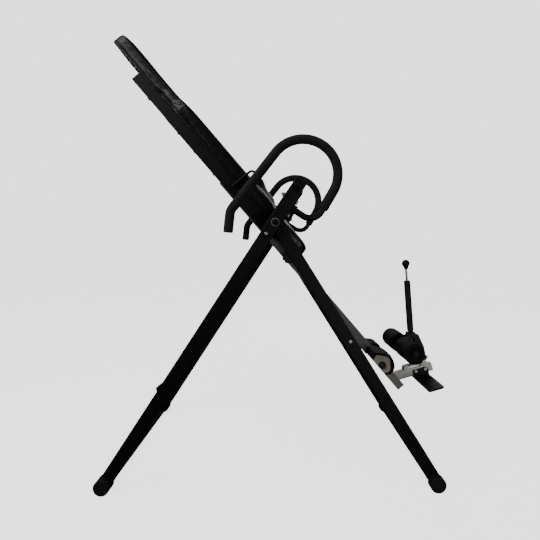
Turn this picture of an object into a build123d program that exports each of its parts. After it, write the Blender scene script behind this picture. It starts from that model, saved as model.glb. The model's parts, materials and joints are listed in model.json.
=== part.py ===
"""Inversion table: an A-frame stand, a tilting bed with a sliding boom, and an ankle clamp.

Frame: origin on the floor under the middle of the stand, +Z up, +X towards the foot end, +Y to the
user's left. The bed leans back against the rear brace, ready to be stepped onto.
"""

import os
from math import atan2, cos, degrees, hypot, radians, sin

from build123d import *

os.makedirs("parts", exist_ok=True)

# ---- driving dimensions (mm) -------------------------------------------------------------------

RIGHT, LEFT = -1, 1  # sides of the user: the right side is at -Y
SIDE_NAME = {RIGHT: "right", LEFT: "left"}

# stand
FRONT_FOOT = (-554.0, 25.0)  # x and z of the front crossbar's axis
REAR_FOOT = (529.0, 25.0)
REAR_LEG_FOOT = (531.0, 25.0)
LEG_HINGE = (2.0, 875.0)  # where the rear legs fold on the front legs
TILT_PIVOT = (70.0, 985.0)  # where the bed turns on the front legs' arms
ARM_REACH = 32.0  # how far an arm goes on past the tilt pivot
LEG_WIDTH, LEG_DEPTH, LEG_WALL = 42.0, 25.0, 2.0
LEG_CORNER = 3.0
FRONT_LEG_IN = 312.0  # |y| of the front legs' inner faces
REAR_LEG_IN = 285.0
CROSSBAR_R, CROSSBAR_WALL = 19.0, 2.0
CAP_R, CAP_IN = 26.0, 312.0  # rubber foot caps, cut flat where they stand
FRONT_CAP_END, REAR_CAP_END = 356.0, 340.0  # |y| of the caps' outer faces
CAP_BOTTOM = 6.0  # rubber beyond the crossbar's end
CAP_DISC_R = 14.0  # recessed disc in a cap's outer face
BRACE_U, BRACE_R, BRACE_WALL = 497.0, 11.0, 2.5  # tube that the boom leans on, this far down the bed
BRACE_GAP, BRACE_BOLT_R, BRACE_PLUG = 0.3, 5.0, 24.0
BOLT_R, CAP_NUT_R, WASHER_R = 6.0, 9.4, 14.5  # leg hinge bolts, their cap nuts and washers
STUD_R, RIVET_HEAD_R = 4.0, 5.5
STUD_BELOW_HINGE = 47.0
CLIP_UP, CLIP_LONG, CLIP_THICK, CLIP_LIP = 350.0, 26.0, 1.6, 6.0  # clips, up the front legs
RUNNING = 0.05  # radial clearance of a turning fit

# handles, in the plane of the stand's side
HANDLE_Y = 325.0
HANDLE_R, HANDLE_WALL, GRIP_R = 11.0, 1.8, 16.0
HANDLE_END = (-152.0, 846.0)
HANDLE_CORNER = (-145.0, 913.0)
HANDLE_ARC_CENTRE, HANDLE_ARC_R = (92.0, 1033.0), 113.5
HANDLE_LOW_REACH = 86.0  # from the flange to the corner below the grip
HANDLE_BEND_R = 42.0
HANDLE_BOLT_R, HANDLE_NUT = 4.0, 13.0
FLANGE_THICK, FLANGE_LONG = 4.0, 80.0
FLANGE_ABOVE_HINGE = 67.0  # middle of a handle's flange, up the front leg
BOLTS_ABOVE_HINGE = (41.0, 92.0)
GRIP_SHARE = 0.56  # how much of the straight below the bend the grip covers

# bed: u runs from head to foot and v stands up from the cushion, both from the tilt pivot
BED_ANGLE = 49.3
RAIL_U, RAIL_V, RAIL_Y = (-687.0, 60.0), (-173.0, -132.0), 200.0
RAIL_WIDTH, RAIL_WALL, RAIL_CORNER = 25.0, 1.2, 2.4
BOARD_V, BOARD_THICK = -132.0, 9.0
PAD_TOP, PAD_WALL, PAD_SKIN = -80.0, 12.0, 9.0
BOARD_INSET = 6.0
LUMBAR_U, LUMBAR_HALF_WIDTH, LUMBAR_HIGH = (-172.0, -8.0), 160.0, 24.0  # swell under the hips
LUMBAR_TAPER = 50.0
PAD_HALF_WIDTH, TAIL_HALF_WIDTH = 215.0, 125.0
PAD_HEAD, PAD_SHOULDER, PAD_HIP, PAD_TAIL = -612.0, -507.0, 0.0, 186.0
HEAD_HALF_WIDTH, HEAD_U = 128.0, -935.0
BOOM_V = -159.0  # axis of the sliding boom
BOOM_OUTER, BOOM_OUTER_WALL, BOOM_OUTER_U = 40.0, 2.0, (-250.0, 655.0)
BOOM_INNER, BOOM_INNER_WALL, BOOM_INNER_U = 32.0, 2.0, (-120.0, 856.0)
HOLE_R, HOLE_STEP, HOLE_COUNT = 5.0, 25.0, 11
CROSS_TUBE_UV, CROSS_TUBE_R = (40.0, -151.0), 16.0
PLATE_IN, PLATE_THICK = 274.0, 6.0  # hinge plates at the bed's sides
TILT_BOLT_R, BUSH_R, BUSH_FLANGE_R, BUSH_FLANGE = 6.5, 10.0, 14.0, 2.0
NUT_IN, HEX = 262.0, 19.0  # |y| of the tilt bolts' inner ends, and their nuts
KNOB_U, KNOB_R = 158.0, 27.0
PIN_R, PIN_SHOULDER_R, PIN_TAIL = 4.0, 6.5, 20.0
COLLAR_R, COLLAR_BORE, COLLAR_LONG = 11.0, 7.0, 24.0
SPRING_R, SPRING_WIRE, SPRING_TURNS = 5.6, 0.6, 5
SCREW_US = (-600.0, -350.0, -100.0)
LOOP_U, LOOP_FOOT, LOOP_TOP, LOOP_WIRE = (-163.0, -134.0), -150.0, -73.0, 4.4
LOOP_Y = -220.2

# foot end
HEEL_U, HEEL_V, HEEL_Y = (634.0, 738.0), (-174.0, -113.5), (30.0, 137.0)
HEEL_TUBE_UV, HEEL_TUBE_R = (692.0, -160.0), 12.5
HEEL_FOAM, HEEL_RECESS = 12.0, 4.0
HEEL_OBLONG = (32.0, 27.0)
BAR_START, BAR_END, BAR_SIZE = (489.5, 275.0), (633.6, 317.3), 32.0
FOOT_BOLTS = [(566.0, 298.0), (604.0, 308.0)]
FOOT_BOLT_R, FOOT_BOLT_HEAD_R, FOOT_NUT = 4.0, 7.0, 12.5
BRACKET_ALONG, BRACKET_WALL, BRACKET_BASE = (68.0, 130.0), 3.0, 9.0
FOOT_PLATE = (60.0, 328.0, 8.0)  # along the bar, across it, and thick
TREAD_ALONG = 69.0
ROLLER_AXIS, ROLLER_R, ROLLER_Y = (515.0, 402.0), 40.0, (27.0, 162.0)
AXLE_R, CORE_R = 8.0, 13.0
CLAMP_PIVOT = (595.0, 340.0)
CLAMP_IN, CLAMP_THICK, CLAMP_GAP, PIVOT_R = 17.0, 4.0, 0.5, 5.0
CLAMP_OUTLINE = [
    (503, 392), (503, 414), (551, 456), (576, 448), (598, 400), (608, 352), (595, 328), (577, 340)
]
CLAMP_WINDOW = [(547, 415), (553, 440), (566, 418)]
LEVER_FOOT, LEVER_TOP, LEVER_R, LEVER_WALL = (551.0, 446.0), (536.0, 663.0), 10.0, 1.5
LEVER_GRIP_R, ROD_R = 12.8, 4.5
BALL_CENTRE, BALL_R = (531.0, 734.0), 15.5

# ---- places worked out from them ---------------------------------------------------------------

SIDE = Plane.XZ  # x to the foot end, y up, normal towards the user's right
BED = Plane(
    origin=(TILT_PIVOT[0], 0, TILT_PIVOT[1]),
    x_dir=(cos(radians(BED_ANGLE)), 0, -sin(radians(BED_ANGLE))),
    z_dir=(0, -1, 0),
)


def bed_point(u, v):
    """The x and z of a point given along and across the bed."""
    point = BED.from_local_coords((u, v, 0))
    return point.X, point.Z


def line_plane(start, end, origin=None):
    """A side plane whose x runs from start to end."""
    x, z = origin or start
    run = (end[0] - start[0], 0, end[1] - start[1])
    return Plane(origin=(x, 0, z), x_dir=run, z_dir=(0, -1, 0))


def distance(a, b):
    return hypot(b[0] - a[0], b[1] - a[1])


FRONT_LEG = line_plane(FRONT_FOOT, TILT_PIVOT)  # x runs up the leg from the foot
REAR_LEG = line_plane(REAR_LEG_FOOT, LEG_HINGE)
PIVOT_UP = distance(FRONT_FOOT, TILT_PIVOT)
HINGE_UP = distance(FRONT_FOOT, LEG_HINGE)
REAR_HINGE_UP = distance(REAR_LEG_FOOT, LEG_HINGE)
FRONT_LEG_LENGTH = PIVOT_UP + ARM_REACH
FRONT_LEG_MID = FRONT_LEG_IN + LEG_DEPTH / 2
FRONT_LEG_OUT = FRONT_LEG_IN + LEG_DEPTH
REAR_LEG_MID = REAR_LEG_IN + LEG_DEPTH / 2
REAR_LEG_OUT = REAR_LEG_IN + LEG_DEPTH
BOOM_BOTTOM = BOOM_V - BOOM_OUTER / 2
BRACE = bed_point(BRACE_U, BOOM_BOTTOM - BRACE_GAP - BRACE_R)

HANDLE_ROOT_UP = HINGE_UP + FLANGE_ABOVE_HINGE
HANDLE_BOLT_SPOTS = [(up - FLANGE_ABOVE_HINGE, 0) for up in BOLTS_ABOVE_HINGE]
LEG_HALF = LEG_WIDTH / 2

BAR = line_plane(BAR_START, BAR_END)  # x runs along the ankle bar, away from the boom
BAR_LONG = distance(BAR_START, BAR_END)
LEVER = line_plane(LEVER_FOOT, LEVER_TOP)  # x runs up the lever
LEVER_LONG = distance(LEVER_FOOT, LEVER_TOP)
LEVER_SECTION = Plane(origin=LEVER.origin, x_dir=(0, 1, 0), z_dir=LEVER.x_dir)
BALL_UP = distance(LEVER_FOOT, BALL_CENTRE)


# ---- shared shapes -----------------------------------------------------------------------------


def rod(plane, centre, radius, y0, y1, mode=Mode.ADD):
    """A round bar along Y, centred on a point of a side plane."""
    with BuildSketch(plane.offset(-max(y0, y1))) as end:
        with Locations(centre):
            Circle(radius)
    extrude(end.sketch, amount=abs(y1 - y0), mode=mode)


def slab(plane, corner, opposite, y0, y1, mode=Mode.ADD):
    """A box between two corners of a side plane and two distances along Y."""
    with BuildSketch(plane.offset(-max(y0, y1))) as face:
        with Locations(((corner[0] + opposite[0]) / 2, (corner[1] + opposite[1]) / 2)):
            Rectangle(abs(opposite[0] - corner[0]), abs(opposite[1] - corner[1]))
    extrude(face.sketch, amount=abs(y1 - y0), mode=mode)


def shaped_slab(plane, points, radius, y0, y1, mode=Mode.ADD):
    """A plate with this outline, its corners rounded, between two distances along Y."""
    with BuildSketch(plane.offset(-max(y0, y1))) as outline:
        with BuildLine():
            Polyline(*points, close=True)
        make_face()
        fillet(outline.vertices(), radius)
    extrude(outline.sketch, amount=abs(y1 - y0), mode=mode)


def box_tube(plane, start, end, across, middle_y, size, wall, corner):
    """A hollow rectangular tube along a side plane's x, `across` off it: size is (depth, width)."""
    section = Plane(
        origin=plane.from_local_coords((start, across, -middle_y)),
        x_dir=(0, 1, 0),
        z_dir=plane.x_dir,
    )
    with BuildSketch(section) as profile:
        RectangleRounded(size[0], size[1], corner)
        RectangleRounded(
            size[0] - 2 * wall, size[1] - 2 * wall, max(corner - wall, 0.8), mode=Mode.SUBTRACT
        )
    extrude(profile.sketch, amount=end - start)


def hex_nut(plane, centre, across, y0, y1):
    """A hexagon along Y."""
    with BuildSketch(plane.offset(-max(y0, y1))) as face:
        with Locations(centre):
            RegularPolygon(across / 2, 6, major_radius=False)
    extrude(face.sketch, amount=abs(y1 - y0))


def round_ends(piece, radius):
    """Round the two circular edges that lie furthest out, one on each side."""
    edges = piece.edges().filter_by(GeomType.CIRCLE).sort_by(Axis.Y)
    fillet([edges[0], edges[-1]], radius)


def finish(piece, name):
    piece.part.label = name
    export_step(piece.part, f"parts/{name}.step")


# ---- front frame -------------------------------------------------------------------------------


def stud_place():
    """The x and z of the bright stud just below each leg hinge."""
    point = FRONT_LEG.from_local_coords((HINGE_UP - STUD_BELOW_HINGE, 2, 0))
    return point.X, point.Z


def front_leg(side):
    middle = side * FRONT_LEG_MID
    across = sorted((side * (FRONT_LEG_IN - 1), side * (FRONT_LEG_OUT + 1)))
    with BuildPart() as leg:
        box_tube(FRONT_LEG, 0, FRONT_LEG_LENGTH, 0, middle, (LEG_DEPTH, LEG_WIDTH), LEG_WALL, LEG_CORNER)
        rod(SIDE, FRONT_FOOT, CROSSBAR_R, *across, mode=Mode.SUBTRACT)
        rod(SIDE, TILT_PIVOT, TILT_BOLT_R, *across, mode=Mode.SUBTRACT)
        rod(SIDE, LEG_HINGE, BOLT_R, *across, mode=Mode.SUBTRACT)
        rod(SIDE, stud_place(), STUD_R, *across, mode=Mode.SUBTRACT)
        with BuildSketch(handle_flange_plane(side).offset(-LEG_WIDTH - 10)):
            with Locations(*HANDLE_BOLT_SPOTS):
                Circle(HANDLE_BOLT_R)
        extrude(amount=LEG_WIDTH + 20, mode=Mode.SUBTRACT)
    return leg


def handle_flange_plane(side):
    """The front leg's lower face where the handle is bolted on: x up the leg, normal outwards."""
    return Plane(
        origin=FRONT_LEG.from_local_coords((HANDLE_ROOT_UP, -LEG_HALF, -side * FRONT_LEG_MID)),
        x_dir=FRONT_LEG.x_dir,
        z_dir=-FRONT_LEG.y_dir,
    )


def crossbar(foot, cap_end):
    reach = cap_end - CAP_BOTTOM
    with BuildPart() as bar:
        rod(SIDE, foot, CROSSBAR_R, -reach, reach)
        rod(SIDE, foot, CROSSBAR_R - CROSSBAR_WALL, -reach, reach, mode=Mode.SUBTRACT)
    return bar


def foot_caps(foot, cap_end, notched):
    """Rubber cups on the crossbar's ends with flat soles; notched ones let the legs in."""
    reach = cap_end - CAP_BOTTOM
    with BuildPart() as caps:
        for side in (RIGHT, LEFT):
            rod(SIDE, foot, CAP_R, side * CAP_IN, side * cap_end)
        chamfer(caps.edges().filter_by(GeomType.CIRCLE).sort_by(Axis.Y)[0], 3)
        chamfer(caps.edges().filter_by(GeomType.CIRCLE).sort_by(Axis.Y)[-1], 3)
        for side in (RIGHT, LEFT):
            rod(SIDE, foot, CROSSBAR_R, side * (CAP_IN - 1), side * reach, mode=Mode.SUBTRACT)
            rod(SIDE, foot, CAP_DISC_R, side * (cap_end - 1.5), side * (cap_end + 1), mode=Mode.SUBTRACT)
            if notched:
                slab(
                    FRONT_LEG,
                    (0, -LEG_HALF - 0.2),
                    (2 * CAP_R, LEG_HALF + 0.2),
                    side * (CAP_IN - 1),
                    side * (FRONT_LEG_OUT + 0.2),
                    mode=Mode.SUBTRACT,
                )
        with BuildSketch(Plane.XY):
            with Locations((foot[0], 0)):
                Rectangle(4 * CAP_R, 3 * cap_end)
        extrude(amount=-CAP_R, mode=Mode.SUBTRACT)
    return caps


def tangent_point(corner, turn):
    """Where a line from this corner touches the handle's bend."""
    centre, radius = HANDLE_ARC_CENTRE, HANDLE_ARC_R
    bearing = degrees(atan2(corner[1] - centre[1], corner[0] - centre[0]))
    spread = degrees(atan2((distance(corner, centre) ** 2 - radius**2) ** 0.5, radius))
    angle = radians(bearing + turn * spread)
    return centre[0] + radius * cos(angle), centre[1] + radius * sin(angle)


def handle_corners(side):
    """The handle's root on its flange, and the corner under the grip's lower end."""
    flange = handle_flange_plane(side).offset(FLANGE_THICK)
    points = [flange.from_local_coords((0, 0, reach)) for reach in (0, HANDLE_LOW_REACH)]
    return [(point.X, point.Z) for point in points]


def handle_path(side, start, with_root):
    """The handle's centre line in the plane of its side, from near its free end."""
    root, low_corner = handle_corners(side)
    first, last = tangent_point(HANDLE_CORNER, -1), tangent_point(low_corner, 1)
    top = (HANDLE_ARC_CENTRE[0] + HANDLE_ARC_R * 0.5, HANDLE_ARC_CENTRE[1] + HANDLE_ARC_R * 0.75**0.5)
    with BuildLine(SIDE.offset(-side * HANDLE_Y)) as path:
        FilletPolyline(start, HANDLE_CORNER, first, radius=HANDLE_BEND_R)
        ThreePointArc(first, top, last)
        if with_root:
            FilletPolyline(last, low_corner, root, radius=HANDLE_BEND_R)
        else:
            Line(last, grip_end(last, low_corner))
    return path


def grip_end(last, low_corner):
    """The grip stops this far down the straight below the bend."""
    reach = low_corner[0] - last[0], low_corner[1] - last[1]
    return last[0] + GRIP_SHARE * reach[0], last[1] + GRIP_SHARE * reach[1]


def round_tube_along(path, radius, mode=Mode.ADD):
    """Sweep a circle along a path, square to its start."""
    with BuildSketch(Plane(origin=path.line @ 0, z_dir=path.line % 0)) as section:
        Circle(radius)
    sweep(section.sketch, path=path.line, mode=mode)


def handle_tube(side):
    with BuildPart() as tube:
        path = handle_path(side, HANDLE_END, with_root=True)
        round_tube_along(path, HANDLE_R)
        round_tube_along(path, HANDLE_R - HANDLE_WALL, mode=Mode.SUBTRACT)
        with BuildSketch(handle_flange_plane(side)):
            RectangleRounded(FLANGE_LONG, LEG_DEPTH, 6)
            with Locations(*HANDLE_BOLT_SPOTS):
                Circle(HANDLE_BOLT_R, mode=Mode.SUBTRACT)
        extrude(amount=FLANGE_THICK)
    return tube


def handle_grip(side):
    """Foam sleeve with a closed end."""
    run = Vector(HANDLE_CORNER[0] - HANDLE_END[0], HANDLE_CORNER[1] - HANDLE_END[1]).normalized()
    start = (HANDLE_END[0] - 4 * run.X, HANDLE_END[1] - 4 * run.Y)
    with BuildPart() as grip:
        round_tube_along(handle_path(side, start, with_root=False), GRIP_R)
        round_tube_along(handle_path(side, HANDLE_END, with_root=True), HANDLE_R, mode=Mode.SUBTRACT)
    return grip


def handle_bolts():
    """Two bolts through each arm, heads on the flange and nuts behind the arm."""
    with BuildPart() as bolts:
        for side in (RIGHT, LEFT):
            flange = handle_flange_plane(side).offset(FLANGE_THICK)
            with BuildSketch(flange):
                with Locations(*HANDLE_BOLT_SPOTS):
                    RegularPolygon(HANDLE_NUT / 2, 6, major_radius=False)
            extrude(amount=5)
            with BuildSketch(flange):
                with Locations(*HANDLE_BOLT_SPOTS):
                    Circle(HANDLE_BOLT_R)
            extrude(amount=-(FLANGE_THICK + LEG_WIDTH + 12))
            with BuildSketch(flange.offset(-FLANGE_THICK - LEG_WIDTH)):
                with Locations(*HANDLE_BOLT_SPOTS):
                    RegularPolygon(HANDLE_NUT / 2, 6, major_radius=False)
            extrude(amount=-6.5)
    return bolts


def leg_clips():
    """A folded steel clip on each front leg, its lip standing off the leg's upper side."""
    up, end, top = CLIP_UP, CLIP_UP + CLIP_LONG, LEG_HALF + CLIP_THICK
    with BuildPart() as clips:
        for side in (RIGHT, LEFT):
            outside = side * FRONT_LEG_OUT
            slab(FRONT_LEG, (up, -14), (end, LEG_HALF), outside, outside + side * CLIP_THICK)
            slab(
                FRONT_LEG,
                (up, LEG_HALF),
                (end, top),
                side * (FRONT_LEG_IN + 2),
                outside + side * CLIP_THICK,
            )
            shaped_slab(
                FRONT_LEG,
                [
                    (up, top - 0.2),
                    (end, top - 0.2),
                    (up + 8, top + CLIP_LIP),
                    (up + 4, top + CLIP_LIP),
                ],
                0.8,
                side * (FRONT_LEG_IN + 4),
                outside - side * 2,
            )
    return clips


def arm_plugs():
    """Plastic plugs in the open tops of the front legs."""
    with BuildPart() as plugs:
        for side in (RIGHT, LEFT):
            middle = side * FRONT_LEG_MID
            for start, end, gap in ((-14, 0, LEG_WALL), (0, 2.5, 0)):
                box_end = Plane(
                    origin=FRONT_LEG.from_local_coords((FRONT_LEG_LENGTH + start, 0, -middle)),
                    x_dir=(0, 1, 0),
                    z_dir=FRONT_LEG.x_dir,
                )
                with BuildSketch(box_end):
                    RectangleRounded(LEG_DEPTH - 2 * gap, LEG_WIDTH - 2 * gap, LEG_CORNER - gap)
                extrude(amount=end - start)
    return plugs


def tilt_bolts():
    """The two bolts that the bed turns on, each with its washer and nut inside the hinge plate."""
    with BuildPart() as bolts:
        for side in (RIGHT, LEFT):
            rod(SIDE, TILT_PIVOT, TILT_BOLT_R, side * NUT_IN, side * FRONT_LEG_OUT)
            rod(SIDE, TILT_PIVOT, 10, side * FRONT_LEG_OUT, side * (FRONT_LEG_OUT + 4))
            rod(SIDE, TILT_PIVOT, 12, side * (PLATE_IN - 3), side * (PLATE_IN - 0.8))
            hex_nut(SIDE, TILT_PIVOT, HEX, side * (NUT_IN + 1), side * (PLATE_IN - 3))
    return bolts


def tilt_spacers():
    """Steel sleeves over the tilt bolts, between the arms and the hinge plates."""
    start = PLATE_IN + PLATE_THICK + BUSH_FLANGE + 0.3
    with BuildPart() as spacers:
        for side in (RIGHT, LEFT):
            rod(SIDE, TILT_PIVOT, 10, side * start, side * FRONT_LEG_IN)
            rod(SIDE, TILT_PIVOT, TILT_BOLT_R, side * start, side * FRONT_LEG_IN, mode=Mode.SUBTRACT)
    return spacers


def leg_hinge_bolts():
    """Bolts that join the rear legs to the front legs: flat heads inside, cap nuts outside."""
    with BuildPart() as bolts:
        for side in (RIGHT, LEFT):
            rod(SIDE, LEG_HINGE, BOLT_R, side * REAR_LEG_IN, side * (FRONT_LEG_OUT + 5))
            rod(SIDE, LEG_HINGE, 11, side * (REAR_LEG_IN - 3), side * (REAR_LEG_IN - 0.2))
            rod(SIDE, LEG_HINGE, WASHER_R, side * FRONT_LEG_OUT, side * (FRONT_LEG_OUT + 2))
            rod(SIDE, LEG_HINGE, CAP_NUT_R, side * (FRONT_LEG_OUT + 2), side * (FRONT_LEG_OUT + 10))
        round_ends(bolts, 3)
    return bolts


def leg_hinge_washers():
    """Plastic washers between the front and the rear legs."""
    with BuildPart() as washers:
        for side in (RIGHT, LEFT):
            inside, outside = side * (REAR_LEG_OUT + 0.2), side * FRONT_LEG_IN
            rod(SIDE, LEG_HINGE, 17, inside, outside)
            rod(SIDE, LEG_HINGE, BOLT_R, inside, outside, mode=Mode.SUBTRACT)
    return washers


def arm_studs():
    """Bright round-headed rivets just below the leg hinges."""
    with BuildPart() as studs:
        for side in (RIGHT, LEFT):
            rod(SIDE, stud_place(), STUD_R, side * (FRONT_LEG_IN + 1), side * FRONT_LEG_OUT)
            rod(SIDE, stud_place(), RIVET_HEAD_R, side * FRONT_LEG_OUT, side * (FRONT_LEG_OUT + 3))
        round_ends(studs, 1.5)
    return studs


# ---- rear frame --------------------------------------------------------------------------------


def rear_leg(side):
    middle = side * REAR_LEG_MID
    across = sorted((side * (REAR_LEG_IN - 1), side * (REAR_LEG_OUT + 1)))
    with BuildPart() as leg:
        size = (LEG_DEPTH, LEG_WIDTH)
        box_tube(REAR_LEG, 0, REAR_HINGE_UP + LEG_HALF, 0, middle, size, LEG_WALL, LEG_CORNER)
        rod(SIDE, REAR_FOOT, CROSSBAR_R, *across, mode=Mode.SUBTRACT)
        rod(SIDE, LEG_HINGE, BOLT_R + RUNNING, *across, mode=Mode.SUBTRACT)
        rod(SIDE, BRACE, BRACE_BOLT_R, *across, mode=Mode.SUBTRACT)
    return leg


def rear_brace():
    """The tube that the bed leans on, between the rear legs."""
    with BuildPart() as brace:
        rod(SIDE, BRACE, BRACE_R, -REAR_LEG_IN, REAR_LEG_IN)
        hollow = REAR_LEG_IN - BRACE_PLUG
        rod(SIDE, BRACE, BRACE_R - BRACE_WALL, -hollow, hollow, mode=Mode.SUBTRACT)
        for side in (RIGHT, LEFT):
            rod(SIDE, BRACE, BRACE_BOLT_R, side * (hollow + 2), side * REAR_LEG_IN, mode=Mode.SUBTRACT)
    return brace


def brace_bolts():
    with BuildPart() as bolts:
        for side in (RIGHT, LEFT):
            rod(SIDE, BRACE, BRACE_BOLT_R, side * (REAR_LEG_IN - BRACE_PLUG + 4), side * REAR_LEG_OUT)
            rod(SIDE, BRACE, RIVET_HEAD_R, side * REAR_LEG_OUT, side * (REAR_LEG_OUT + 1.6))
        round_ends(bolts, 0.8)
    return bolts


# ---- bed ---------------------------------------------------------------------------------------


def pad_plane(v):
    """The bed's face at this height: x along u, y across the bed, normal along v."""
    return Plane(origin=BED.from_local_coords((0, v, 0)), x_dir=BED.x_dir, z_dir=BED.y_dir)


def corners_at(outline, u, y):
    """The outline's two corners at this distance along, one on each side of the middle."""
    spots = [Vector(u, y), Vector(u, -y)]
    return [
        corner
        for corner in outline.sketch_local.vertices()
        if min((Vector(corner.X, corner.Y) - spot).length for spot in spots) < 0.1
    ]


def pad_sketch(v, inset):
    """One padded board from above: head, shoulders, hip and tail, with rounded corners."""
    head, wide, tail = HEAD_HALF_WIDTH - inset, PAD_HALF_WIDTH - inset, TAIL_HALF_WIDTH - inset
    half = [
        (HEAD_U + inset, head - 14),
        (PAD_HEAD, head),
        (PAD_SHOULDER, wide),
        (PAD_HIP, wide),
        (PAD_HIP + 45, tail + 25),
        (PAD_TAIL - inset, tail),
    ]
    radii = [70 - inset, 60, 60, 40, 40, 40 - inset]
    with BuildSketch(pad_plane(v)) as outline:
        with BuildLine():
            Polyline(*half, *[(u, -y) for u, y in reversed(half)], close=True)
        make_face()
        for (u, y), radius in zip(half, radii):
            fillet(corners_at(outline, u, y), radius)
    return outline


def backrest_board():
    with BuildPart() as board:
        extrude(pad_sketch(BOARD_V, BOARD_INSET).sketch, amount=BOARD_THICK)
    return board


def backrest_pad():
    """Foam pad on the board, hollowed from below as light moulded foam, with a lumbar swell."""
    base = BOARD_V + BOARD_THICK + 0.3
    with BuildPart() as pad:
        extrude(pad_sketch(base, 0).sketch, amount=PAD_TOP - base)
        for grow, bottom, high, mode in (
            (0, PAD_TOP - 2, LUMBAR_HIGH + 2, Mode.ADD),
            (-PAD_WALL, PAD_TOP - PAD_SKIN - 2, LUMBAR_HIGH, Mode.SUBTRACT),
        ):
            with BuildSketch(pad_plane(bottom)) as swell:
                with Locations((sum(LUMBAR_U) / 2, 0)):
                    length = LUMBAR_U[1] - LUMBAR_U[0]
                    RectangleRounded(length + 2 * grow, 2 * (LUMBAR_HALF_WIDTH + grow), 40)
            extrude(swell.sketch, amount=high, taper=LUMBAR_TAPER, mode=mode)
        extrude(pad_sketch(base, PAD_WALL).sketch, amount=PAD_TOP - base - PAD_SKIN, mode=Mode.SUBTRACT)
    return pad


def side_rail(side):
    """Steel rail under each edge of the board, with the cross tube through its foot end."""
    size = (RAIL_WIDTH, RAIL_V[1] - RAIL_V[0])
    across = (side * (RAIL_Y - RAIL_WIDTH), side * (RAIL_Y + RAIL_WIDTH))
    with BuildPart() as rail:
        box_tube(BED, *RAIL_U, sum(RAIL_V) / 2, side * RAIL_Y, size, RAIL_WALL, RAIL_CORNER)
        rod(BED, CROSS_TUBE_UV, CROSS_TUBE_R, *across, mode=Mode.SUBTRACT)
    return rail


def bed_crossbars():
    """Square tubes between the rails, at the head end and against the boom's end."""
    reach = RAIL_Y - RAIL_WIDTH / 2
    with BuildPart() as bars:
        for low, high, bottom in ((-665, -640, -157), (-275, BOOM_OUTER_U[0], -165)):
            wall, top = RAIL_WALL, bottom + 25
            slab(BED, (low, bottom), (high, top), -reach, reach)
            inner = (low + wall, bottom + wall), (high - wall, top - wall)
            slab(BED, *inner, -reach, reach, mode=Mode.SUBTRACT)
    return bars


def pivot_cross_tubes():
    """Tubes welded to both sides of the boom, out to the hinge plates."""
    with BuildPart() as tubes:
        for side in (RIGHT, LEFT):
            ends = side * BOOM_OUTER / 2, side * PLATE_IN
            rod(BED, CROSS_TUBE_UV, CROSS_TUBE_R, *ends)
            rod(BED, CROSS_TUBE_UV, CROSS_TUBE_R - 2, *ends, mode=Mode.SUBTRACT)
    return tubes


def hinge_plate(side):
    """Slotted-end plate from the tilt pivot down to the cross tube."""
    u, v = CROSS_TUBE_UV
    faces = side * PLATE_IN, side * (PLATE_IN + PLATE_THICK)
    with BuildPart() as plate:
        with BuildSketch(BED.offset(-max(faces))):
            with Locations((u / 2, v / 2)):
                SlotCenterToCenter(hypot(u, v), 50, rotation=degrees(atan2(v, u)))
            Circle(BUSH_R, mode=Mode.SUBTRACT)
        extrude(amount=PLATE_THICK)
        fillet(plate.edges().group_by(Axis.Y)[0 if side == RIGHT else -1], 0.8)
    return plate


def tilt_bushes():
    """Flanged plastic bushes that run on the tilt bolts."""
    with BuildPart() as bushes:
        for side in (RIGHT, LEFT):
            outside = side * (PLATE_IN + PLATE_THICK)
            rod(SIDE, TILT_PIVOT, BUSH_R, side * PLATE_IN, outside)
            rod(SIDE, TILT_PIVOT, BUSH_FLANGE_R, outside, outside + side * BUSH_FLANGE)
            bore = side * PLATE_IN, outside + side * BUSH_FLANGE
            rod(SIDE, TILT_PIVOT, TILT_BOLT_R + RUNNING, *bore, mode=Mode.SUBTRACT)
    return bushes


def boom_outer():
    """Square tube that holds the sliding boom, drilled on its right side for the selector pin."""
    with BuildPart() as boom:
        size = (BOOM_OUTER, BOOM_OUTER)
        box_tube(BED, *BOOM_OUTER_U, BOOM_V, 0, size, BOOM_OUTER_WALL, 4)
        rod(BED, (KNOB_U, BOOM_V), PIN_R + RUNNING, -BOOM_OUTER, -BOOM_OUTER / 3, mode=Mode.SUBTRACT)
    return boom


def boom_sleeve():
    """Plastic liner in the boom's mouth, with a collar outside."""
    mouth, slide_gap = BOOM_OUTER_U[1], 0.2
    fit, bore = BOOM_OUTER - 2 * BOOM_OUTER_WALL, BOOM_INNER + 2 * slide_gap
    with BuildPart() as sleeve:
        for start, end, size, corner in ((mouth - 60, mouth, fit, 2), (mouth, mouth + 5, BOOM_OUTER, 4)):
            box_tube(BED, start, end, BOOM_V, 0, (size, size), (size - bore) / 2, corner)
    return sleeve


def selector_collar():
    """Threaded boss for the selector pin on the boom's side, bored for its spring."""
    face, end = -BOOM_OUTER / 2, -BOOM_OUTER / 2 - COLLAR_LONG
    with BuildPart() as collar:
        rod(BED, (KNOB_U, BOOM_V), COLLAR_R, face, end)
        rod(BED, (KNOB_U, BOOM_V), COLLAR_BORE, face - 2, end + 2, mode=Mode.SUBTRACT)
        rod(BED, (KNOB_U, BOOM_V), PIN_R + RUNNING, face, end, mode=Mode.SUBTRACT)
    return collar


def selector_pin():
    """Pull pin, drawn just clear of the sliding boom."""
    tip, end = -BOOM_INNER / 2 - 0.4, -BOOM_OUTER / 2 - COLLAR_LONG - PIN_TAIL
    with BuildPart() as pin:
        rod(BED, (KNOB_U, BOOM_V), PIN_R, tip, end)
        shoulder = -BOOM_OUTER / 2 - 3
        rod(BED, (KNOB_U, BOOM_V), PIN_SHOULDER_R, shoulder, shoulder - 3)
    return pin


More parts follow.
